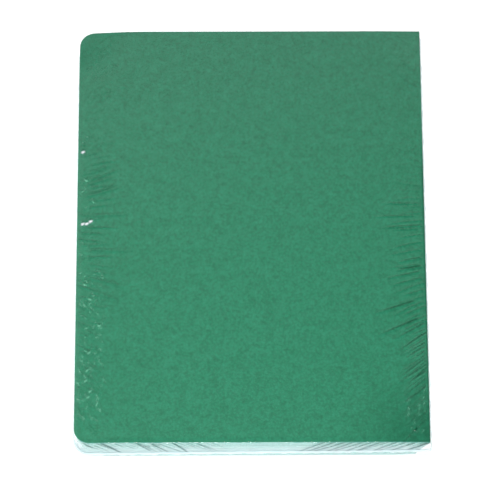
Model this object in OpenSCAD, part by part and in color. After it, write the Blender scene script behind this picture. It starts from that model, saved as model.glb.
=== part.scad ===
// Shrink-wrapped pack of card binding covers for punched and bound booklets.
// A flat stack of loose covers is sealed between two leaves of clear shrink film, welded all round.
// Each cover has two round corners on its outer edge, -X, and two square ones on its binding edge, +X.
// Units are millimetres. The origin is the middle of the pack's underside, and +Z is up.

/* [Cover] */
// Width of a cover, from outer edge to binding edge
cover_w = 222.25; // [200:0.25:240]
// Height of a cover, along the binding edge
cover_l = 285.75; // [260:0.25:310]
// Thickness of the card
cover_t = 0.24; // [0.2:0.01:0.4]
// Radius of the two corners on the outer edge
corner_r = 9.5; // [6:0.5:14]

/* [Stack] */
// Number of front and back cover sets in the pack
set_count = 50; // [10:1:50]
// Air that the card's grain holds between two covers
air = 0.01; // [0.005:0.005:0.05]
// Furthest that a cover lies off the stack's middle, sideways
stray = 0.15; // [0:0.05:0.3]

/* [Film] */
// Thickness of the shrink film
film_t = 0.05; // [0.03:0.01:0.1]
// Free space between the film and the furthest cover edge
film_gap = 0.1; // [0.05:0.05:0.5]
// Height of the trim seal, as a share of the pack's height
seal_share = 0.35; // [0.25:0.01:0.6]
// Width that the trimmed weld stands out from the pack's sides
seal_w = 1.5; // [0.5:0.1:4]

/* [Hidden] */
$fn = 96;
covers_per_set = 2; // a front cover and a back cover
pitch = cover_t + air;
stack_h = set_count * covers_per_set * pitch;
pack_h = stack_h + 2 * film_t;
seal_z = pack_h * seal_share;
film_inside = stray + film_gap; // from a cover's true edge to the film
film_outside = film_inside + film_t;
cut_over = 1; // how far a cutting shape runs past what it cuts
drift_turn = 3.1; // degrees that the stack's slow lean turns per cover
scatter_turn = 137.5; // degrees between neighbours, so that no two lie alike
drift_part = 0.6; // share of the stray that is slow lean, the rest is scatter

function set_name(k) = str("cover_set_", k < 10 ? "0" : "", k);
FILM_NODES = ["film_lower_leaf", "film_upper_leaf", "film_trim_seal"];

// Sideways place of cover n, counted from the bottom
function stray_x(n) =
    stray * (drift_part * sin(drift_turn * n) + (1 - drift_part) * sin(scatter_turn * n));
function stray_y(n) =
    stray * (drift_part * cos(drift_turn * n) + (1 - drift_part) * cos(2 * scatter_turn * n));

// What a round corner takes off a square one. The corner points to -X and to up, 1 or -1.
module corner_waste(radius, up) {
    difference() {
        translate([-cut_over, up > 0 ? -radius : -cut_over]) square(radius + cut_over);
        translate([radius, -up * radius]) circle(r = radius);
    }
}

// Outline of a cover, grown all round
module cover_outline(grow = 0) {
    w = cover_w + 2 * grow;
    l = cover_l + 2 * grow;
    difference() {
        square([w, l], center = true);
        for (up = [-1, 1])
            translate([-w / 2, up * l / 2]) corner_waste(corner_r + grow, up);
    }
}

module slab(grow, z0, z1) {
    translate([0, 0, z0]) linear_extrude(height = z1 - z0) cover_outline(grow);
}

// One loose cover, number n from the bottom
module cover(n) {
    z0 = film_t + n * pitch;
    translate([stray_x(n), stray_y(n), 0]) slab(0, z0, z0 + cover_t);
}

// The front and the back cover of one booklet, number k from the bottom
module cover_set(k) {
    color("seagreen")
        for (j = [0 : covers_per_set - 1]) cover((k - 1) * covers_per_set + j);
}

// Film under the stack and up its sides to the trim seal
module film_lower_leaf() {
    color("azure", 0.3)
        difference() {
            slab(film_outside, 0, seal_z);
            slab(film_inside, film_t, seal_z + cut_over);
        }
}

// Film over the stack and down its sides to the trim seal
module film_upper_leaf() {
    color("azure", 0.3)
        difference() {
            slab(film_outside, seal_z, pack_h);
            slab(film_inside, seal_z - cut_over, pack_h - film_t);
        }
}

// The two leaves' edges, welded together and trimmed to a narrow band round the pack
module film_trim_seal() {
    color("azure", 0.3)
        difference() {
            slab(film_outside + seal_w, seal_z - film_t, seal_z + film_t);
            slab(film_outside, seal_z - cut_over, seal_z + cut_over);
        }
}

for (k = [1 : set_count])
    cover_set(k);
film_lower_leaf();
film_upper_leaf();
film_trim_seal();
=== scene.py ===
"""Looks of a shrink-wrapped pack of green binding covers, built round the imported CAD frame.

+Z is up. Lengths are in millimetres until mesh_object turns them into metres. Materials and lamps are in
metres.
"""

import math
from collections import namedtuple

import bpy
import numpy as np
from mathutils import Matrix, Vector


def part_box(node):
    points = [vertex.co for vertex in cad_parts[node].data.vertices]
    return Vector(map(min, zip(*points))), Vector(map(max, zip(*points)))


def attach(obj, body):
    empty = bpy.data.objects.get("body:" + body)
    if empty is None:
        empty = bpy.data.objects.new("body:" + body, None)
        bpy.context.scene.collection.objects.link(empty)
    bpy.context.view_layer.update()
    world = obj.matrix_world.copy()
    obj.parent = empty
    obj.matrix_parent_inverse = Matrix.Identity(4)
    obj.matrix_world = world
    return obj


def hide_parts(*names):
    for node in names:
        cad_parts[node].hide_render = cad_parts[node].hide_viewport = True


MM = 0.001
FRONT, RIGHT, BACK, LEFT = "front", "right", "back", "left"
SIDES = (FRONT, RIGHT, BACK, LEFT)

# The pack, beyond what the frame says
ROUND_R = 9.5  # round corners of a cover, at -X
SQUARE_R = 0.3  # square corners, as a die leaves them
CHAMFER = 0.02  # card surface that the die drags over a cut edge
FILM_T = 0.03  # thickness of the shrunk film
FILM_ROUND_R = ROUND_R + 0.3  # round corners of the film
CORNER_EASE = 0.2  # how much a corner's radius grows per millimetre that an outline is inset
EDGE_R = 0.2  # how tightly the film turns over the pack's edges
SEAL_W = 1.5  # width of the trimmed weld
SEAL_TILT = 0.0225  # rise of the weld per millimetre towards +X

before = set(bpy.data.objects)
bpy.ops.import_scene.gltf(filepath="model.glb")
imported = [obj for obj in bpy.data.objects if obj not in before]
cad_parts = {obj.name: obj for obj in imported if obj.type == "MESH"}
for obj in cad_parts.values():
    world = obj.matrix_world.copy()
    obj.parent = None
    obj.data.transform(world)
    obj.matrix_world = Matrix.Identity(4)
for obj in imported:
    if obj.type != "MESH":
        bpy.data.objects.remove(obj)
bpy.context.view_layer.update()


def box_mm(node):
    low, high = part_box(node)
    return np.array(low) / MM, np.array(high) / MM


COVER_NODES = sorted(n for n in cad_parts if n.startswith("cover_set_"))
LOWER_LOW, LOWER_HIGH = box_mm("film_lower_leaf")
UPPER_LOW, UPPER_HIGH = box_mm("film_upper_leaf")
HALF_W, HALF_L = UPPER_HIGH[0], UPPER_HIGH[1]  # to the outside of the film
PACK_H = UPPER_HIGH[2]
SEAL_Z = UPPER_LOW[2]


# ---------------------------------------------------------------- shapes shared by all pieces


def smooth(x):
    """Eases from 0 at x = 0 to 1 at x = 1."""
    x = np.clip(x, 0.0, 1.0)
    return x * x * (3 - 2 * x)


# How far the film's pull draws each corner of the pack down from above and up from below, and how far
# from the corner it reaches: (side along X, side along Y, down, up, reach)
CORNER_PULLS = (
    (-1, 1, 2.6, 0.8, 46),
    (1, 1, 0.5, 0.8, 34),
    (-1, -1, 0.5, 1.0, 30),
    (1, -1, 0.7, 2.2, 32),
)
EDGE_PULL = 0.12  # how far it bends the cover edges down from above
EDGE_PULL_BELOW = 0.5  # how far it bends them up from below, as a share of that
EDGE_REACH = 5.0  # how far in from the edges


def pulled(x, y):
    """How far the pack's top is drawn down and its underside is drawn up at (x, y)."""
    down = EDGE_PULL * (1 - smooth(edge_distance(x, y) / EDGE_REACH)) ** 2
    up = down * EDGE_PULL_BELOW
    for sx, sy, from_above, from_below, reach in CORNER_PULLS:
        near = (1 - smooth(np.hypot(sx * HALF_W - x, sy * HALF_L - y) / reach)) ** 1.5
        down = down + from_above * near
        up = up + from_below * near
    return down, up


def pressed(x, y, z):
    """Height to which the film's pull takes a point that lies at height z in the flat pack."""
    down, up = pulled(x, y)
    return up + z * (1 - (down + up) / PACK_H)


def edge_distance(x, y):
    """Distance from (x, y) in the pack to its nearest side."""
    return np.minimum(HALF_W - np.abs(x), HALF_L - np.abs(y)).clip(0)


# An outline is eight stretches, counter-clockwise from the front: side, corner, side, corner and so on.
CORNER_TURNS = {1: -90, 3: 0, 5: 90, 7: 180}


def outline(columns, half_w, half_l, round_r, square_r):
    """Points and outward directions of a pack-shaped outline at each column's (stretch, share of it)."""
    stretch, share = columns
    centres = {
        1: (half_w - square_r, -half_l + square_r, square_r),
        3: (half_w - square_r, half_l - square_r, square_r),
        5: (-half_w + round_r, half_l - round_r, round_r),
        7: (-half_w + round_r, -half_l + round_r, round_r),
    }
    ends = {
        0: ((-half_w + round_r, -half_l), (half_w - square_r, -half_l), (0, -1)),
        2: ((half_w, -half_l + square_r), (half_w, half_l - square_r), (1, 0)),
        4: ((half_w - square_r, half_l), (-half_w + round_r, half_l), (0, 1)),
        6: ((-half_w, half_l - round_r), (-half_w, -half_l + round_r), (-1, 0)),
    }
    points = np.zeros((len(share), 2))
    outward = np.zeros((len(share), 2))
    for k, (start, end, normal) in ends.items():
        here = stretch == k
        f = share[here][:, None]
        points[here] = np.array(start) * (1 - f) + np.array(end) * f
        outward[here] = normal
    for k, (cx, cy, r) in centres.items():
        here = stretch == k
        a = np.radians(CORNER_TURNS[k] + 90 * share[here])
        outward[here] = np.c_[np.cos(a), np.sin(a)]
        points[here] = np.array((cx, cy)) + r * outward[here]
    return points, outward


def make_columns(side_shares, corner_steps):
    """Columns round the pack. side_shares gives each side's shares from 0 to 1, in order."""
    stretch, share = [], []
    for k in range(8):
        f = side_shares[k // 2] if k % 2 == 0 else np.linspace(0, 1, corner_steps[k] + 1)
        stretch += [k] * (len(f) - 1)
        share += list(f[:-1])
    return np.array(stretch), np.array(share)


def every_other(columns):
    """Half of the columns of a ring."""
    return columns[0][::2], columns[1][::2]


def mesh_object(name, verts_mm, faces, material_of_face=None):
    """A new object, whose mesh has those vertices in millimetres."""
    mesh = bpy.data.meshes.new(name)
    mesh.from_pydata((np.asarray(verts_mm) * MM).tolist(), [], faces)
    mesh.update()
    obj = bpy.data.objects.new(name, mesh)
    bpy.context.scene.collection.objects.link(obj)
    if material_of_face is not None:
        mesh.polygons.foreach_set("material_index", np.asarray(material_of_face, np.int32))
    return obj


def strip_faces(a, b, n):
    """Quads between ring a and ring b, which start at those vertex numbers and have n points each."""
    j = np.arange(n)
    k = (j + 1) % n
    return np.c_[a + j, a + k, b + k, b + j].tolist()


def halving_faces(a, b, n):
    """Triangles between ring a of n points and ring b of half as many."""
    faces = []
    for j in range(n // 2):
        a0, a1, a2 = a + 2 * j, a + 2 * j + 1, a + (2 * j + 2) % n
        b0, b1 = b + j, b + (j + 1) % (n // 2)
        faces += [(a0, a1, b0), (a1, b1, b0), (a1, a2, b1)]
    return faces


# ---------------------------------------------------------------- materials

# Stops of the colour ramps: (place, linear colour)
CARD_GREENS = (
    (0.35, (0.009, 0.204, 0.100)),
    (0.50, (0.014, 0.234, 0.120)),
    (0.65, (0.020, 0.264, 0.141)),
)
PORE_SHADES = ((0.0, (1.16, 1.16, 1.16)), (0.75, (0.82, 0.82, 0.82)))
PORE_WARP = 0.0015  # how far the pores of the grain stray from even cells
CORE_MINTS = (
    (0.30, (0.18, 0.60, 0.56)),
    (0.55, (0.22, 0.67, 0.64)),
    (0.80, (0.27, 0.74, 0.71)),
)
CORE_FLATTEN = 14.0  # how much flatter than long the fibres of the cut edge are
# The film's clearness, gloss and milkiness by the painted shade on its folds: darker where shade falls in a
# fold
CLEAR_BY_PAINTED_SHADE = ((0.0, (0.99, 0.995, 0.995)), (0.6, (0.64, 0.70, 0.68)), (1.0, (0.25, 0.36, 0.34)))
GLOSS_BY_PAINTED_SHADE = ((0.0, (1, 1, 1)), (0.8, (0.12, 0.12, 0.12)))
MILK_BY_PAINTED_SHADE = ((0.0, (1.0, 1.0, 1.0)), (1.0, (0.22, 0.32, 0.32)))
# Colours of the film's opaque shader: light green at 0 and below, for painted light on the wrinkles of the
# top face; paler up to white for bunched film and painted highlights
COLOURS_OF_MILK_AND_PAINTED_LIGHT = (
    (0.00, (0.26, 0.78, 0.52)),
    (0.02, (0.55, 0.84, 0.82)),
    (0.50, (0.84, 0.96, 1.00)),
    (1.00, (0.93, 0.99, 1.00)),
)
MOST_MILK_AND_SHEEN = 0.9  # weight of the film's opaque shader at its strongest, on bunched film and on painted highlights


def new_material(name):
    mat = bpy.data.materials.new(name)
    mat.use_nodes = True
    nt = mat.node_tree
    nt.nodes.clear()
    return mat, nt, nt.nodes.new("ShaderNodeOutputMaterial")


def node(nt, kind, **settings):
    """A new node. Each setting is the value of an input, or of a property where no input has its name."""
    n = nt.nodes.new(kind)
    for key, value in settings.items():
        if key in n.inputs:
            n.inputs[key].default_value = value
        else:
            setattr(n, key, value)
    return n


def ramp(nt, source, stops):
    """Colour of a ramp at the value of source."""
    n = nt.nodes.new("ShaderNodeValToRGB")
    elements = n.color_ramp.elements
    while len(elements) > 1:
        elements.remove(elements[-1])
    elements[0].position, elements[0].color = stops[0][0], (*stops[0][1], 1)
    for place, colour in stops[1:]:
        elements.new(place).color = (*colour, 1)
    nt.links.new(source, n.inputs["Fac"])
    return n.outputs["Color"]


def calculated(nt, operation, *values):
    """Result of a Math node. Each value is a number or another node's output."""
    n = node(nt, "ShaderNodeMath", operation=operation)
    for socket, value in zip(n.inputs, values):
        if isinstance(value, float):
            socket.default_value = value
        else:
            nt.links.new(value, socket)
    return n.outputs["Value"]


def multiplied(nt, first, second):
    """Product of two colours."""
    n = node(nt, "ShaderNodeMix", data_type="RGBA", blend_type="MULTIPLY")
    n.inputs["Factor"].default_value = 1.0
    nt.links.new(first, n.inputs[6])
    nt.links.new(second, n.inputs[7])
    return n.outputs[2]


def ranged(nt, source, low, high):
    """Source, taken from between 0 and 1 to between low and high."""
    n = node(nt, "ShaderNodeMapRange")
    n.inputs["To Min"].default_value = low
    n.inputs["To Max"].default_value = high
    nt.links.new(source, n.inputs["Value"])
    return n.outputs["Result"]


def noise(nt, place, **settings):
    """Outputs of a noise texture at that place."""
    n = node(nt, "ShaderNodeTexNoise", **settings)
    nt.links.new(place, n.inputs["Vector"])
    return n.outputs


def bumped(nt, height, **settings):
    """Normal of a surface with bumps of that height."""
    n = node(nt, "ShaderNodeBump", **settings)
    nt.links.new(height, n.inputs["Height"])
    return n.outputs["Normal"]


def mixed(nt, amount, first, second):
    """Mix of two shaders, which is all second where the amount is 1."""
    n = node(nt, "ShaderNodeMixShader")
    for source, socket in zip((amount, first, second), n.inputs):
        nt.links.new(source, socket)
    return n.outputs["Shader"]


def object_place(nt):
    return nt.nodes.new("ShaderNodeTexCoord").outputs["Object"]


def card_face_material():
    """Green card with a fine leather grain."""
    mat, nt, out = new_material("card_green")
    link = nt.links.new
    place = object_place(nt)
    cloud = noise(nt, place, Scale=260.0, Detail=5.0, Roughness=0.75)["Fac"]
    bent = node(nt, "ShaderNodeVectorMath", operation="MULTIPLY_ADD")
    link(noise(nt, place, Scale=420.0, Detail=2.0)["Color"], bent.inputs[0])
    bent.inputs[1].default_value = (PORE_WARP, PORE_WARP, PORE_WARP)
    link(place, bent.inputs[2])
    voronoi = node(nt, "ShaderNodeTexVoronoi", feature="SMOOTH_F1", Scale=700.0, Randomness=1.0)
    link(bent.outputs["Vector"], voronoi.inputs["Vector"])
    pores = voronoi.outputs["Distance"]

    bsdf = node(nt, "ShaderNodeBsdfPrincipled")
    bsdf.inputs["Specular IOR Level"].default_value = 0.3
    colour = multiplied(nt, ramp(nt, cloud, CARD_GREENS), ramp(nt, pores, PORE_SHADES))
    link(colour, bsdf.inputs["Base Color"])
    link(ranged(nt, cloud, 0.5, 0.68), bsdf.inputs["Roughness"])
    link(bumped(nt, pores, Strength=0.35, Distance=0.00012, invert=True), bsdf.inputs["Normal"])
    link(bsdf.outputs["BSDF"], out.inputs["Surface"])
    return mat


def card_edge_material():
    """Pale core of the card, where it is cut."""
    mat, nt, out = new_material("card_core")
    link = nt.links.new
    flat = node(nt, "ShaderNodeMapping")
    flat.inputs["Scale"].default_value = (1.0, 1.0, CORE_FLATTEN)
    link(object_place(nt), flat.inputs["Vector"])
    fibres = noise(nt, flat.outputs["Vector"], Scale=260.0, Detail=3.0)["Fac"]

    bsdf = node(nt, "ShaderNodeBsdfPrincipled")
    bsdf.inputs["Roughness"].default_value = 0.85
    bsdf.inputs["Specular IOR Level"].default_value = 0.15
    link(ramp(nt, fibres, CORE_MINTS), bsdf.inputs["Base Color"])
    link(bumped(nt, fibres, Strength=0.3, Distance=0.00005), bsdf.inputs["Normal"])
    link(bsdf.outputs["BSDF"], out.inputs["Surface"])
    return mat


def film_material():
    """Clear shrink film. An attribute of painted shade darkens its folds. Another makes it opaque and pale:
    white above 0, where the film has bunched and where highlights are painted, and light green below 0, where
    light on the wrinkles is painted."""
    mat, nt, out = new_material("shrink_film")
    link = nt.links.new
    place = object_place(nt)
    # Painted shade, which darkens the film along its folds
    crease = node(nt, "ShaderNodeAttribute", attribute_name="crease").outputs["Fac"]
    # Bunched film, and painted highlights on wrinkles, corners and weld
    gather = node(nt, "ShaderNodeAttribute", attribute_name="gather").outputs["Fac"]

    ripple = noise(nt, place, Scale=75.0, Detail=3.0, Roughness=0.5)["Fac"]
    crinkle = noise(nt, place, Scale=520.0, Detail=2.0, Roughness=0.6)["Fac"]
    height = calculated(nt, "ADD", ripple, calculated(nt, "MULTIPLY", crinkle, gather))
    normal = bumped(nt, height, Strength=0.4, Distance=0.00012)

    clear = node(nt, "ShaderNodeBsdfTransparent")
    link(ramp(nt, crease, CLEAR_BY_PAINTED_SHADE), clear.inputs["Color"])
    shine = node(nt, "ShaderNodeBsdfGlossy")
    link(ramp(nt, crease, GLOSS_BY_PAINTED_SHADE), shine.inputs["Color"])
    link(ranged(nt, ripple, 0.06, 0.14), shine.inputs["Roughness"])
    link(normal, shine.inputs["Normal"])
    fresnel = node(nt, "ShaderNodeFresnel", IOR=1.65)
    link(normal, fresnel.inputs["Normal"])
    outside = calculated(nt, "SUBTRACT", 1.0, nt.nodes.new("ShaderNodeNewGeometry").outputs["Backfacing"])
    mirror = calculated(nt, "MULTIPLY", fresnel.outputs["Fac"], outside)
    film = mixed(nt, mirror, clear.outputs["BSDF"], shine.outputs["BSDF"])

    milk_and_painted_sheen = node(nt, "ShaderNodeBsdfPrincipled")
    milk_and_painted_sheen.inputs["Roughness"].default_value = 0.4
    milk_and_painted_sheen.inputs["Specular IOR Level"].default_value = 0.15
    colour = multiplied(nt, ramp(nt, gather, COLOURS_OF_MILK_AND_PAINTED_LIGHT), ramp(nt, crease, MILK_BY_PAINTED_SHADE))
    link(colour, milk_and_painted_sheen.inputs["Base Color"])
    link(normal, milk_and_painted_sheen.inputs["Normal"])
    amount = calculated(nt, "MULTIPLY", calculated(nt, "ABSOLUTE", gather), MOST_MILK_AND_SHEEN)
    link(mixed(nt, amount, film, milk_and_painted_sheen.outputs["BSDF"]), out.inputs["Surface"])
    return mat


CARD_FACE = card_face_material()
CARD_EDGE = card_edge_material()
FILM = film_material()


# ---------------------------------------------------------------- covers


def eased_shares(length, fine, coarse, reach):
    """Shares of a side from 0 to 1, with steps of fine near both ends and of coarse between."""
    steps = [0.0]
    while steps[-1] < length:
        near = min(steps[-1], length - steps[-1])
        steps.append(steps[-1] + fine + (coarse - fine) * smooth(near / reach))
    return np.array(steps) / steps[-1]


COVER_COLUMNS = make_columns(
    [eased_shares(2 * h, fine=4, coarse=20, reach=60) for h in (HALF_W, HALF_L, HALF_W, HALF_L)],
    {1: 3, 3: 3, 5: 9, 7: 9},
)
COVER_INSETS = (0.0, 0.8, 2.2, 4.5, 9.0, 17.0, 30.0, 48.0)
FACE_SLOT, EDGE_SLOT = 0, 1  # the covers' material slots


def cover_mesh(middle, half_w, half_l, z_low, z_high):
    """Vertices, faces and material numbers of one cover: a green face on each side and a pale cut edge."""
    n = len(COVER_COLUMNS[0])
    rings = [(d, z_low) for d in reversed(COVER_INSETS)]
    rings[-1] = (CHAMFER, z_low)
    rings += [(0.0, z_low + CHAMFER), (0.0, z_high - CHAMFER), (CHAMFER, z_high)]
    rings += [(d, z_high) for d in COVER_INSETS[1:]]
    verts, faces, kinds = [], [], []
    for inset, z in rings:
        points, _ = outline(
            COVER_COLUMNS,
            half_w - inset,
            half_l - inset,
            ROUND_R + CORNER_EASE * inset,
            SQUARE_R + CORNER_EASE * inset,
        )
        points = points + middle
        verts.append(np.c_[points, pressed(*points.T, z)])
    edge_ring = len(COVER_INSETS)  # the lower ring of the cut edge
    for k in range(len(rings) - 1):
        faces += strip_faces(k * n, (k + 1) * n, n)
        kinds += [EDGE_SLOT if k == edge_ring else FACE_SLOT] * n
    faces.append(tuple(reversed(range(n))))
    faces.append(tuple(range((len(rings) - 1) * n, len(rings) * n)))
    kinds += [FACE_SLOT, FACE_SLOT]
    return np.vstack(verts), faces, kinds


def solids_of(node_name):
    """(middle, half width, half length, lowest, highest) of each cover in a CAD node, in millimetres."""
    co = np.array([v.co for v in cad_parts[node_name].data.vertices]) / MM
    split = (co[:, 2].min() + co[:, 2].max()) / 2
    for part in (co[co[:, 2] < split], co[co[:, 2] > split]):
        low, high = part.min(0), part.max(0)
        yield (low + high)[:2] / 2, *((high - low)[:2] / 2), low[2], high[2]


def make_covers():
    """One piece for each CAD node of covers, with as many loose covers in it as the node has."""
    for number, name in enumerate(COVER_NODES, 1):
        verts, faces, kinds, start = [], [], [], 0
        for middle, half_w, half_l, z_low, z_high in solids_of(name):
            v, f, k = cover_mesh(middle, half_w, half_l, z_low, z_high)
            verts.append(v)
            faces += [tuple(i + start for i in face) for face in f]
            kinds += k
            start += len(v)
        covers = mesh_object(f"covers_{number:02d}", np.vstack(verts), faces, kinds)
        covers.data.materials.append(CARD_FACE)
        covers.data.materials.append(CARD_EDGE)
        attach(covers, "root")
        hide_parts(name)


# ---------------------------------------------------------------- wrinkles of the film

# A wrinkle is a ridge on the unfolded film beside one side of the pack. It crosses the top edge at place,
# counted along that side, and leans by lean millimetres along the side per millimetre inwards. It runs
# from start to end, counted inwards from the edge, so that start is below 0 where it begins on the wall.


def wrinkle(place, lean, start, end, width, tall, bend=0.0, pale=0.0):
    """Its width and height in millimetres, how it bends, and how bright a highlight is painted on it."""
    return place, lean, start, end, width, tall, bend, pale


FAN_TURN = 0.36  # degrees that a wrinkle turns per millimetre from the middle of its fan
FAN_LIMIT = 125.0  # distance beyond which it turns no further


def fan_lean(distance):
    """Lean of a wrinkle at that distance from the middle of its fan."""
    return math.tan(math.radians(FAN_TURN * max(-FAN_LIMIT, min(FAN_LIMIT, distance))))


def side_fan(rng, middle, low, high, starts, gap, strength, reach, pale):
    """Wrinkles that fan out over a side's edge. gap, strength, reach and the painted highlight on each depend
    on the place.
    """
    found = []
    place = low
    while place < high:
        lean = fan_lean(place - middle) * rng.uniform(0.85, 1.15)
        start = rng.choice(starts)
        end = max(start, 0) + reach(place) * rng.uniform(0.7, 1.3)
        tall = strength(place) * rng.uniform(0.45, 1.0)
        width = rng.uniform(0.4, 0.6)
        bend = rng.uniform(-0.006, 0.006)
        sheen = pale(place) * rng.uniform(0, 1)
        found.append(wrinkle(place, lean, start, end, width, tall, bend, sheen))
        place += gap(place) * rng.uniform(0.65, 1.35)
    return found


def flecks(rng, count, low, high, middle, deepest):
    """Short stray wrinkles close to a side's edge, where the film has bunched. Some get a painted highlight.
    """
    found = []
    for _ in range(count):
        place = rng.uniform(low, high)
        start = rng.uniform(0.8, deepest)
        lean = fan_lean(place - middle) + rng.uniform(-1.2, 0.8)
        end = start + rng.uniform(1.4, 3.8)
        width = rng.uniform(0.36, 0.48)
        tall = rng.uniform(0.03, 0.08)
        pale = rng.choice([0.0, 0.0, 0.2, 0.4, 0.65])
        found.append(wrinkle(place - lean * start, lean, start, end, width, tall, 0.0, pale))
    return found


DIMPLE_HALF = 1.9  # half the length of a dimple
DIMPLE_TALL = 0.1


def painted_glints(places, lean, pale):
    """Short bumps at each (place along the side, distance inwards), painted bright as glints: white where
    their strength is above 1, light green below.
    """
    found = []
    for along, inwards in places:
        start, end = inwards - DIMPLE_HALF, inwards + DIMPLE_HALF
        width = 0.6 + 0.2 * pale
        found.append(wrinkle(along - lean * inwards, lean, start, end, width, DIMPLE_TALL, 0.0, pale))
    return found


WALL_DEPTH = -18.0  # start of a wrinkle that reaches down to the weld
WALL_TOP = 0.5  # end of a wrinkle that reaches up to the edge


def corner_rake(rng, corner, towards, reach):
    """Slanting wrinkles on a wall that climb from the weld towards a corner."""
    found = []
    away = rng.uniform(2, 4)
    while away < reach:
        fade = (1 - away / reach) ** 0.6
        lean = -towards * rng.uniform(0.8, 1.1)
        tall = rng.uniform(0.1, 0.24) * (0.35 + 0.65 * fade)
        deepest = rng.choice([WALL_DEPTH, WALL_DEPTH, -12.0, -8.0])
        highest = rng.choice([WALL_TOP, WALL_TOP, -4.0])
        bend = rng.uniform(-0.02, 0.02)
        width = rng.uniform(0.36, 0.5)
        place = corner + towards * away
        found.append(wrinkle(place, lean, deepest, highest, width, tall, bend))
        away += rng.uniform(2.2, 5.0)
    return found


FRONT_RAKE_PLACES = (44, 50, 56.5, 62, 68, 73.5, 79, 84, 89.5, 95, 101)


def make_wrinkles(seed):
    """The wrinkles beside each side of the pack: those drawn at random, and the strongest one by one."""
    rng = np.random.default_rng(seed)
    sets = {
        FRONT: corner_rake(rng, -HALF_W, 1, 85),
        BACK: corner_rake(rng, -HALF_W, 1, 80) + corner_rake(rng, HALF_W, -1, 75),
        RIGHT: side_fan(
            rng,
            middle=14,
            low=-126,
            high=130,
            starts=[-16.0, 0.8, 1.5, 3.5],
            gap=lambda y: 2.9 + 1.6 * smooth((y + 75) / 40),
            strength=lambda y: 0.03 + 0.1 * smooth((35 - y) / 60) + 0.08 * smooth((-50 - y) / 20),
            reach=lambda y: 17 + 4 * smooth((y + 80) / 60),
            pale=lambda y: 0.16 * smooth((-45 - y) / 20) * smooth((y + 124) / 14),
        ),
        LEFT: side_fan(
            rng,
            middle=-2,
            low=-125,
            high=125,
            starts=[-16.0, 1.5, 6.0, 7.5, 9.0],
            gap=lambda y: 3.2 + 1.0 * smooth((y + 60) / 60),
            strength=lambda y: 0.03 + 0.06 * smooth((75 - y) / 60),
            reach=lambda y: 13 + 6 * smooth((y + 60) / 60),
            pale=lambda y: 0.05,
        ),
    }
    sets[RIGHT] += [
        wrinkle(-45.6, -0.37, 7, 35, 0.6, 0.17, 0.001),
        wrinkle(-57.6, -0.48, 5, 35, 0.6, 0.17, 0.001),
        wrinkle(-24, -0.17, 2, 21, 0.6, 0.18),
        wrinkle(4, -0.06, 1, 30, 0.55, 0.11),
        wrinkle(11, -0.03, 6, 36, 0.5, 0.09),
        wrinkle(19, 0.02, 3, 30, 0.5, 0.09),
    ]
    sets[RIGHT] += flecks(rng, 26, -138, -104, 14, 13)
    sets[LEFT] += [
        wrinkle(23, 0.3, 5, 29, 1.1, 0.06),
        wrinkle(31, 0.33, 5, 26, 1.0, 0.055),
        wrinkle(39, 0.36, 6, 25, 1.0, 0.05),
        wrinkle(11, 0.04, 8, 36, 1.1, 0.055),
        wrinkle(-12, -0.04, 8, 37, 1.1, 0.06),
        wrinkle(-28, -0.34, 11, 33, 1.1, 0.06),
        wrinkle(-37, -0.38, 9, 30, 1.0, 0.05),
    ]
    sets[LEFT] += flecks(rng, 190, -126, -26, -2, 17) + flecks(rng, 40, -25, 70, -2, 9)
    # Painted glints: white on the first four bumps, light green on the others
    sets[LEFT] += painted_glints([(57, 3.4), (6.4, 4.0), (6.6, 6.6), (8.2, 9.0)], 0.3, 1.5)
    sets[LEFT] += painted_glints([(36.5, 5.8), (-36, 5.9), (-46, 9.3), (-64, 15.3)], -0.3, 0.75)
    sets[LEFT] += painted_glints([(-82, 9.2), (-94, 8.1), (-101, 7.2), (-108, 10.2), (-112, 8.8)], 0.6, 0.6)
    sets[FRONT] += [
        wrinkle(108.5, 0.98, -14, WALL_TOP, 1.5, 0.5),
        wrinkle(-95.5, -0.86, WALL_DEPTH, WALL_TOP, 0.65, 0.24, 0.01),
        wrinkle(-73, -0.6, -16, WALL_TOP, 0.55, 0.2),
        wrinkle(-64.5, -0.67, WALL_DEPTH, WALL_TOP, 0.55, 0.2),
        wrinkle(-50.5, -0.7, WALL_DEPTH, WALL_TOP, 0.65, 0.24, 0.01),
        wrinkle(-35.5, -0.75, -14, WALL_TOP, 0.5, 0.17),
    ]
    for place in FRONT_RAKE_PLACES:
        width = rng.uniform(0.72, 0.95)
        tall = rng.uniform(0.17, 0.3)
        lean = rng.uniform(0.9, 1.1)
        bend = rng.uniform(-0.01, 0.01)
        sets[FRONT].append(wrinkle(place, lean, WALL_DEPTH, WALL_TOP, width, tall, bend))
    return {side: np.array(rows) for side, rows in sets.items()}


EDGE_CALM = 1.3  # how near the pack's edge the film's tightness flattens its wrinkles
PAINTED_SHADE_PER_MM = 4.6  # painted shade on a wrinkle's fold, per millimetre of the wrinkle's height
PAINTED_SHEEN_PER_MM = 0.15  # painted highlight on a wrinkle's lit side, per millimetre of its height


def bell(x):
    """1 at x = 0, and almost nothing beyond 2 on either side."""
    return np.exp(-(x**2))


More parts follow.
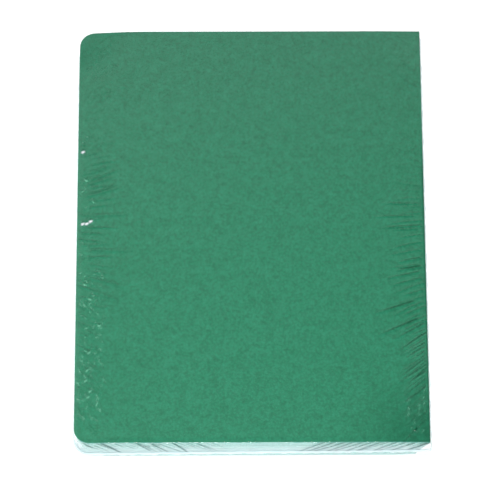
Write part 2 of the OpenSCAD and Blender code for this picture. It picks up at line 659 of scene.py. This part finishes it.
def relief(rows, along, inwards):
    """Height of a side's wrinkles at each (along, inwards), the painted shade on their folds, and the painted
    highlight on them: white above 0, and light green below. The painted shade lies on one side of a wrinkle
    and the painted highlight on the other."""
    high, crease, milk_and_painted_sheen = np.zeros((3, len(along)))
    for place, lean, start, end, width, tall, bend, pale in rows:
        off = along - place - lean * inwards - bend * inwards * np.abs(inwards)
        off = off / math.hypot(1, lean)
        close = (np.abs(off) < 4 * width) & (inwards > start) & (inwards < end)
        if not close.any():
            continue
        t, d = inwards[close], off[close] / width  # along the wrinkle, and across it in its widths
        tail = 0.7 + 0.45 * max(0.0, end - max(start, 0.0))  # it fades over this length at its inner end
        share = smooth((t - start) / min(2.5, 0.4 * (end - start))) * (1 - smooth((t - end) / tail + 1))
        share = share * (1 - 0.5 * bell(t / EDGE_CALM))
        high[close] = np.maximum(high[close], tall * share * bell(d))
        # Painted shade on one side of the wrinkle
        dark = share * bell((d - 0.95) / 0.85)
        crease[close] = np.maximum(crease[close], min(1.0, PAINTED_SHADE_PER_MM * tall) * dark)
        # Painted highlight on the wrinkle's other side: white above 1, light green below
        light = share * (PAINTED_SHEEN_PER_MM * tall + pale) * bell((d + 0.9) / 0.8)
        sign = 1 if pale > 1 else -1
        milk_and_painted_sheen[close] = np.where(light > np.abs(milk_and_painted_sheen[close]), sign * light, milk_and_painted_sheen[close])
    return high, crease, milk_and_painted_sheen.clip(-1, 1)


WRINKLES = make_wrinkles(11)


# ---------------------------------------------------------------- film

TURN_STEPS = 3  # rings round the turn of an edge
UPPER_STEPS = 22  # rings down the wall of the upper leaf
LOWER_STEPS = 11  # and up the wall of the lower leaf
ROUND_STEPS, SQUARE_STEPS = 16, 4  # columns round each corner
PLACE_SIDE = {0: FRONT, 2: RIGHT, 4: BACK, 6: LEFT}  # the side of each straight stretch of an outline
FLAT_ENOUGH = 0.01  # difference between a quad's corners at which it isn't worth splitting

EAR_REACH = 10.0  # how far from a square corner the film stands off as an ear
EAR_OUT = 0.15  # and how far out, at the weld
BUNCH = 6.8  # how far from a square corner the gathered film reaches at the weld. It is drawn white: partly the bunched film, partly a painted highlight
BUNCH_BELOW = 2.5  # and how much further at the bottom
PAINTED_FLOOR_LIGHT_UPPER = 0.6  # how much paler the wall is drawn towards the weld, at most: painted light thrown up from the floor and how much paler towards the bottom, below the weld, at most
PAINTED_FLOOR_LIGHT_LOWER = 0.5  # and below it, at most
ROUND_MILK = 0.55  # milkiness of the film bunched on a round corner

# One ring of film points: their places, heights, wrinkles' height, painted shade on folds, and milkiness with
# painted highlights
Ring = namedtuple("Ring", "points z high crease gather")


def seal_height(x, y):
    """Height of the weld's middle, which climbs a little towards +X and wavers."""
    waver = 0.16 * np.sin(0.41 * x + 0.23 * y) + 0.12 * np.sin(0.97 * x - 0.71 * y + 1.3)
    return SEAL_Z + SEAL_TILT * x + waver


def growing_insets(first, step, growth, last):
    """Insets of the rings of a face, whose steps grow inwards."""
    insets = [first]
    while insets[-1] < last:
        insets.append(insets[-1] + step + growth * insets[-1])
    return insets


TOP_INSETS = growing_insets(first=0.3, step=0.55, growth=0.016, last=33.0)
INNER_INSETS = (42.0, 54.0, 70.0)  # rings that each have half the columns of the last
LINING_INSETS = (0.25, 1, 2.5, 5, 9, 14, 20, 28, 40, 60)
LINING_SHARES = (1.0, 0.9, 0.75, 0.5, 0.25, 0.0)  # heights of the wall's lining, from the weld to the edge


def spaced_shares(length, step_at):
    """Shares of a side from 0 to 1, whose steps in millimetres depend on the distance from its start."""
    steps = [0.0]
    while steps[-1] < length:
        steps.append(steps[-1] + step_at(steps[-1]))
    return np.array(steps) / steps[-1]


def film_columns():
    """Columns of a film leaf, close together beside the wrinkled parts of its sides. They are so many that
    they can be halved for each of the inner rings."""
    w, l = 2 * HALF_W - ROUND_R, 2 * HALF_L
    # Millimetres from a column to the next along the front, right, back and left side
    sides = [
        spaced_shares(w, lambda s: 0.58 if s < 88 or s > w - 75 else 1.3),
        spaced_shares(l, lambda s: 0.6 if s < 190 else 1.4),
        spaced_shares(w, lambda s: 1.0 if s < 75 or s > w - 80 else 1.6),
        spaced_shares(l - 2 * ROUND_R, lambda s: 0.6 if s > 65 else 1.3),
    ]
    total = sum(len(f) - 1 for f in sides) + 2 * (ROUND_STEPS + SQUARE_STEPS)
    spare = total % 2 ** len(INNER_INSETS)
    last = sides[-1]
    sides[-1] = np.interp(np.linspace(0, 1, len(last) - spare), np.linspace(0, 1, len(last)), last)
    return make_columns(sides, {1: SQUARE_STEPS, 3: SQUARE_STEPS, 5: ROUND_STEPS, 7: ROUND_STEPS})


def along_side(columns, points):
    """Each column's side and its place along it. Corner columns go with the nearer side."""
    stretch, share = columns
    nearer = np.where(stretch % 2 == 0, stretch, np.where(share < 0.5, stretch - 1, (stretch + 1) % 8))
    side = np.array([PLACE_SIDE[k] for k in nearer])
    flat = (side == FRONT) | (side == BACK)
    return side, np.where(flat, points[:, 0], points[:, 1])


def face_relief(x, y):
    """Wrinkles on the flat face, from all four sides."""
    found = np.zeros((3, len(x)))
    for side, along, inwards in (
        (FRONT, x, HALF_L + y),
        (BACK, x, HALF_L - y),
        (LEFT, y, HALF_W + x),
        (RIGHT, y, HALF_W - x),
    ):
        high, crease, milk_and_painted_sheen = relief(WRINKLES[side], along, inwards)
        found = np.array([np.maximum(found[0], high), np.maximum(found[1], crease), found[2] + milk_and_painted_sheen])
    return found


def wall_relief(columns, points, below):
    """Wrinkles on the walls at that depth below the top edge."""
    side, along = along_side(columns, points)
    found = np.zeros((3, len(along)))
    for name in SIDES:
        here = side == name
        found[:, here] = np.abs(relief(WRINKLES[name], along[here], -below[here]))
    stretch, share = columns
    return found * np.where(stretch % 2 == 0, 1.0, smooth(np.abs(share - 0.5) * 2))


def from_square_corner(points):
    """Distance along the sides from the nearest square corner, which are at +X."""
    x, y = points.T
    return np.abs(HALF_W - x) + np.abs(HALF_L - np.abs(y))


def ear(points, share):
    """How far the film stands off beside a square corner, at that share of the way to the weld."""
    return EAR_OUT * (1 - smooth(from_square_corner(points) / EAR_REACH)) * smooth(share) ** 1.4


def painted_shadow_under_weld(edge, below):
    """Painted shadow of the weld at that distance under it, wavy as if the film were tucked there. It is
    strongest at the right end of the front."""
    run = run_along(edge)
    on_front = edge[:, 1] < 1 - HALF_L
    strong = 0.3 + 0.8 * smooth((edge[:, 0] - 38) / 12) * on_front
    wave = np.sin(1.1 * run) + 0.7 * np.sin(2.3 * run + 1.9) + 0.6 * np.sin(0.37 * run)
    return 0.9 * strong * smooth(0.6 * wave + 0.35) * bell((below - 2.0) / 1.7)


def run_along(points):
    """Distance round the outline from its first point to each of its points."""
    return np.cumsum(np.hypot(*np.diff(points, axis=0, append=points[:1]).T))


def round_corner(columns):
    """How far each column lies within a round corner, from 0 at its ends to 1."""
    stretch, share = columns
    inside = np.where(stretch == 7, 1 - share, share)
    return np.where((stretch == 5) | (stretch == 7), smooth(inside * 2) * smooth((1 - inside) * 4), 0.0)


def wall_rings(columns, edge_z, turn_up, steps):
    """Rings from the pack's edge at height edge_z, over the turn and along the wall to the weld.
    turn_up is 1 for the top edge and -1 for the bottom one."""
    edge, outward = outline(columns, HALF_W, HALF_L, FILM_ROUND_R, SQUARE_R)
    nothing = np.zeros(len(edge))
    outer_z = pressed(*edge.T, edge_z)
    high, crease, milk_and_painted_sheen = wall_relief(columns, edge, nothing) * (turn_up > 0)
    rings = []
    for k in range(TURN_STEPS):
        a = math.radians(90 * (k + 0.5) / TURN_STEPS)
        out = EDGE_R * (math.sin(a) - 1) + high * math.sin(a)
        z = outer_z - turn_up * EDGE_R * (1 - math.cos(a)) + high * math.cos(a)
        rings.append(Ring(edge + outward * out[:, None], z, high, crease, milk_and_painted_sheen))
    start = outer_z - turn_up * EDGE_R
    weld = seal_height(*edge.T)
    corner = from_square_corner(edge)
    for k in range(1, steps + 1):
        share = k / steps
        z = start * (1 - share) + weld * share
        high, crease, milk_and_painted_sheen = wall_relief(columns, edge, pressed(*edge.T, PACK_H) - z)
        high = high * smooth((1 - share) * 5)
        if turn_up > 0:
            bunched = BUNCH * share
            # Painted light from the floor: paler towards the weld
            painted_floor_light = PAINTED_FLOOR_LIGHT_UPPER * share
        else:
            high, crease = high * 0.6, crease * 0.6
            # Painted shadow under the weld
            crease = np.maximum(crease, painted_shadow_under_weld(edge, weld - z))
            bunched = BUNCH + BUNCH_BELOW * (1 - share)
            # Painted light from the floor: paler towards the bottom
            painted_floor_light = PAINTED_FLOOR_LIGHT_LOWER * (1 - share)
        # White towards each square corner: partly the bunched film, partly a painted highlight
        gather = np.maximum(painted_floor_light + milk_and_painted_sheen, 1 - smooth((corner - bunched + 1.0) / 2.0))
        gather = np.maximum(gather, ROUND_MILK * round_corner(columns) * smooth(2 * share)).clip(0, 1)
        out = high + ear(edge, share)
        rings.append(Ring(edge + outward * out[:, None], z, high, crease, gather * smooth(6 * share)))
    return rings


def face_ring(columns, inset, height):
    """A ring on a flat face. height gives the height and the wrinkles' height, crease and milkiness."""
    corner = FILM_ROUND_R + CORNER_EASE * inset, SQUARE_R + CORNER_EASE * inset
    points, _ = outline(columns, HALF_W - inset, HALF_L - inset, *corner)
    return Ring(points, *height(*points.T))


def painted_shade_at_binding_edge(x, y):
    """Painted shade on the film: a dark line where it bends over the right edge, a darker band beside that
    edge, and painted shade round its near corner. It fades away towards the back."""
    fold = 0.45 * bell((HALF_W - x - 0.7) / 0.6) * smooth((75 - y) / 40)
    beside = 0.04 * (1 - smooth((HALF_W - x) / 22)) * smooth((20 - y) / 60)
    corner = 0.27 * (1 - smooth((np.hypot(HALF_W - x, HALF_L + y) - 6) / 52))
    return np.maximum(fold, beside + corner)


def top_face(x, y):
    """Height of the film over the pack, and its wrinkles' height, painted shade and painted highlight."""
    high, crease, milk_and_painted_sheen = face_relief(x, y)
    # Painted shade along the right edge and round its near corner
    crease = np.maximum(crease, painted_shade_at_binding_edge(x, y))
    return pressed(x, y, PACK_H) + high, high, crease, milk_and_painted_sheen


def bottom_face(x, y):
    """The same under the pack, where the wrinkles lie pressed flat if it rests on something."""
    high, crease, milk_and_painted_sheen = face_relief(x, y)
    lifted = pressed(x, y, 0)
    high = np.minimum(high, 0.7 * lifted)
    return lifted - high, high, 0.8 * crease, milk_and_painted_sheen


def lining_rings(columns, edge_z, turn_up):
    """Rings of the film's inner face, from the weld back over the wall and in over the flat face.
    It lies against the stack, under the wrinkles, so it needs far fewer points."""
    rings = []
    for number, share in enumerate(LINING_SHARES):
        if number in (1, 2):
            columns = every_other(columns)
        edge, outward = outline(columns, HALF_W, HALF_L, FILM_ROUND_R, SQUARE_R)
        start = pressed(*edge.T, edge_z) - turn_up * (EDGE_R + FILM_T)
        z = start * (1 - share) + seal_height(*edge.T) * share
        nothing = np.zeros(len(edge))
        out = ear(edge, share) - FILM_T
        rings.append(Ring(edge + outward * out[:, None], z, nothing, nothing, nothing))

    def plain(x, y):
        return pressed(x, y, edge_z - turn_up * FILM_T), *np.zeros((3, len(x)))

    return rings + [face_ring(columns, inset, plain) for inset in LINING_INSETS]


def join_rings(outer, inner, a, b):
    """Faces between two rings that start at vertex numbers a and b. Wrinkled quads are split along the
    diagonal whose ends are most alike, which is the one along the wrinkle."""
    n, m = len(outer.z), len(inner.z)
    if m == 2 * n:
        return [tuple(reversed(face)) for face in halving_faces(b, a, m)]
    if n == 2 * m:
        return halving_faces(a, b, n)
    j = np.arange(n)
    k = (j + 1) % n
    value_a, value_b = outer.high + outer.crease, inner.high + inner.crease
    first = np.abs(value_a[j] - value_b[k])
    second = np.abs(value_a[k] - value_b[j])
    faces = []
    for i, q in enumerate(np.c_[a + j, a + k, b + k, b + j].tolist()):
        if max(first[i], second[i]) < FLAT_ENOUGH:
            faces.append(tuple(q))
        elif first[i] < second[i]:
            faces += [(q[0], q[1], q[2]), (q[0], q[2], q[3])]
        else:
            faces += [(q[0], q[1], q[3]), (q[1], q[2], q[3])]
    return faces


def make_leaf(name, cad_node, face, edge_z, turn_up, steps, columns):
    """A film leaf: its flat face, filled in by ever coarser rings, the turn over the edge and the wall, and
    behind them the lining, which closes it to a thin shell."""
    rings = [face_ring(columns, inset, face) for inset in reversed(TOP_INSETS)]
    rings += wall_rings(columns, edge_z, turn_up, steps)
    inner = columns
    for inset in INNER_INSETS:
        inner = every_other(inner)
        rings.insert(0, face_ring(inner, inset, face))
    rings += lining_rings(columns, edge_z, turn_up)
    starts = np.concatenate([[0], np.cumsum([len(ring.z) for ring in rings])])
    faces = [tuple(range(starts[1])), tuple(reversed(range(starts[-2], starts[-1])))]
    for k in range(len(rings) - 1):
        faces += join_rings(rings[k + 1], rings[k], starts[k + 1], starts[k])
    if turn_up < 0:
        faces = [tuple(reversed(face)) for face in faces]
    leaf = mesh_object(name, np.vstack([np.c_[ring.points, ring.z] for ring in rings]), faces)
    crease = np.concatenate([ring.crease for ring in rings])
    gather = np.concatenate([ring.gather for ring in rings])
    finish_film(leaf, cad_node, crease, gather)


def finish_film(piece, cad_node, crease, gather):
    """Gives a piece of film its attributes and material, and ties it to the frame."""
    for label, values in (("crease", crease), ("gather", gather)):
        layer = piece.data.attributes.new(label, "FLOAT", "POINT")
        layer.data.foreach_set("value", values.astype(np.float32))
    piece.data.polygons.foreach_set("use_smooth", [True] * len(piece.data.polygons))
    piece.data.materials.append(FILM)
    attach(piece, "root")
    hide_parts(cad_node)


# Cross-section of the trimmed weld: a thin band with a melted bead along its cut edge.
# (share of the width, height above the middle)
SEAL_SECTION = (
    (-0.02, -0.03),
    (0.4, -0.035),
    (0.8, -0.04),
    (0.92, -0.12),
    (1.0, 0.0),
    (0.92, 0.12),
    (0.8, 0.04),
    (0.4, 0.035),
    (-0.02, 0.03),
)


def make_seal(columns):
    """The trimmed weld round the pack, whose cut edge ripples. It is drawn whitest along the front, a painted
    highlight.
    """
    edge, outward = outline(columns, HALF_W, HALF_L, FILM_ROUND_R, SQUARE_R)
    x, y = edge.T
    run = run_along(edge)
    ripple = 0.5 * np.sin(1.31 * run) + 0.3 * np.sin(2.17 * run + 0.7) + 0.35 * np.sin(0.53 * run + 2.1)
    width = SEAL_W * (1 + 0.12 * np.sin(0.37 * run) + 0.1 * np.sin(0.93 * run + 1.0))
    weld = seal_height(x, y)
    root = ear(edge, 1.0)
    verts = []
    for share, rise in SEAL_SECTION:
        out = root + share * width
        z = weld + rise + 0.28 * ripple * max(share, 0) ** 1.5
        verts.append(np.c_[edge + outward * out[:, None], z])
    n = len(edge)
    faces = []
    for k in range(len(SEAL_SECTION)):
        faces += strip_faces(k * n, (k + 1) % len(SEAL_SECTION) * n, n)
    seal = mesh_object("film_seal", np.vstack(verts), faces)
    count = len(seal.data.vertices)
    # The weld's own haze of 0.25, and a painted highlight of up to 0.5 more where it faces the front
    gather = np.tile(0.25 + 0.5 * np.clip(-outward[:, 1], 0, 1), len(SEAL_SECTION))
    finish_film(seal, "film_trim_seal", np.zeros(count), gather)


make_covers()
FILM_COLUMNS = film_columns()
make_leaf("film_upper", "film_upper_leaf", top_face, PACK_H, 1, UPPER_STEPS, FILM_COLUMNS)
make_leaf("film_lower", "film_lower_leaf", bottom_face, 0.0, -1, LOWER_STEPS, FILM_COLUMNS)
make_seal(FILM_COLUMNS)


# ---------------------------------------------------------------- stage, lights and camera

FLOOR_HALF = 6.0
FLOOR_Z = -0.0002  # just under the pack
FLOOR_GLOW = 0.72  # keeps the floor white round the pack

DARK_TOWARDS = (0.09, 0.17, 0.98)  # the middle of the dark part of the studio
# Brightness of the studio at each angle in degrees from that middle
WORLD_LEVELS = (
    (0, 0.0),
    (9, 0.0),
    (14, 0.3),
    (17.5, 0.75),
    (24, 0.75),
    (34, 0.3),
    (50, 0.3),
    (68, 0.5),
    (84, 1.0),
)
WORLD_STRENGTH = 0.9

CAMERA_AT = Vector((-14.0, -868.0, 2039.0)) * MM
CAMERA_AIM = Vector((-0.7, -12.8, 25.1)) * MM
CAMERA_ROLL = 0.0115  # in radians
CAMERA_LENS = 246.9  # in millimetres, as is the sensor's width
CAMERA_SENSOR = 36.0


def make_floor():
    """A pale floor that lights the pack's sides."""
    h = FLOOR_HALF
    mesh = bpy.data.meshes.new("floor")
    mesh.from_pydata([(-h, -h, 0), (h, -h, 0), (h, h, 0), (-h, h, 0)], [], [(0, 1, 2, 3)])
    floor = bpy.data.objects.new("floor", mesh)
    bpy.context.scene.collection.objects.link(floor)
    mat, nt, out = new_material("floor")
    bsdf = node(nt, "ShaderNodeBsdfPrincipled")
    bsdf.inputs["Base Color"].default_value = (0.92, 0.92, 0.92, 1)
    bsdf.inputs["Roughness"].default_value = 0.9
    bsdf.inputs["Emission Color"].default_value = (1, 1, 1, 1)
    bsdf.inputs["Emission Strength"].default_value = FLOOR_GLOW
    nt.links.new(bsdf.outputs["BSDF"], out.inputs["Surface"])
    mesh.materials.append(mat)
    floor.location.z = FLOOR_Z


def make_world():
    """Pale surroundings, darker above the far side, where a flat face mirrors them to the camera."""
    world = bpy.data.worlds.new("studio")
    bpy.context.scene.world = world
    world.use_nodes = True
    nt = world.node_tree
    nt.nodes.clear()
    link = nt.links.new
    out = nt.nodes.new("ShaderNodeOutputWorld")
    back = nt.nodes.new("ShaderNodeBackground")
    near = node(nt, "ShaderNodeVectorMath", operation="DOT_PRODUCT")
    link(nt.nodes.new("ShaderNodeTexCoord").outputs["Generated"], near.inputs[0])
    near.inputs[1].default_value = Vector(DARK_TOWARDS).normalized()
    apart = calculated(nt, "ARCCOSINE", near.outputs["Value"])
    right_angles = calculated(nt, "DIVIDE", apart, math.pi / 2)
    stops = [(angle / 90, (level, level, level)) for angle, level in WORLD_LEVELS]
    link(ramp(nt, right_angles, stops), back.inputs["Color"])
    back.inputs["Strength"].default_value = WORLD_STRENGTH
    link(back.outputs["Background"], out.inputs["Surface"])


def area_light(name, place, target, size, power):
    lamp = bpy.data.lights.new(name, "AREA")
    lamp.shape = "DISK"
    lamp.size = size
    lamp.energy = power
    obj = bpy.data.objects.new(name, lamp)
    bpy.context.scene.collection.objects.link(obj)
    obj.location = place
    obj.rotation_euler = (Vector(target) - Vector(place)).to_track_quat("-Z", "Y").to_euler()


def make_camera():
    cam = bpy.data.cameras.new("camera")
    cam.lens = CAMERA_LENS
    cam.sensor_width = CAMERA_SENSOR
    cam.clip_end = 50.0
    obj = bpy.data.objects.new("camera", cam)
    bpy.context.scene.collection.objects.link(obj)
    turn = (CAMERA_AIM - CAMERA_AT).to_track_quat("-Z", "Y").to_matrix().to_4x4()
    obj.matrix_world = Matrix.Translation(CAMERA_AT) @ turn @ Matrix.Rotation(CAMERA_ROLL, 4, "Z")
    bpy.context.scene.camera = obj


make_floor()
make_world()
area_light("key", place=(-0.02, -0.2, 0.6), target=(-0.02, -0.04, 0.02), size=0.24, power=2.5)
area_light("glint", place=(-0.72, -0.17, 0.80), target=(-0.1, -0.02, 0.02), size=0.06, power=1.5)
make_camera()
bpy.context.scene.view_settings.view_transform = "Standard"

bpy.context.view_layer.update()
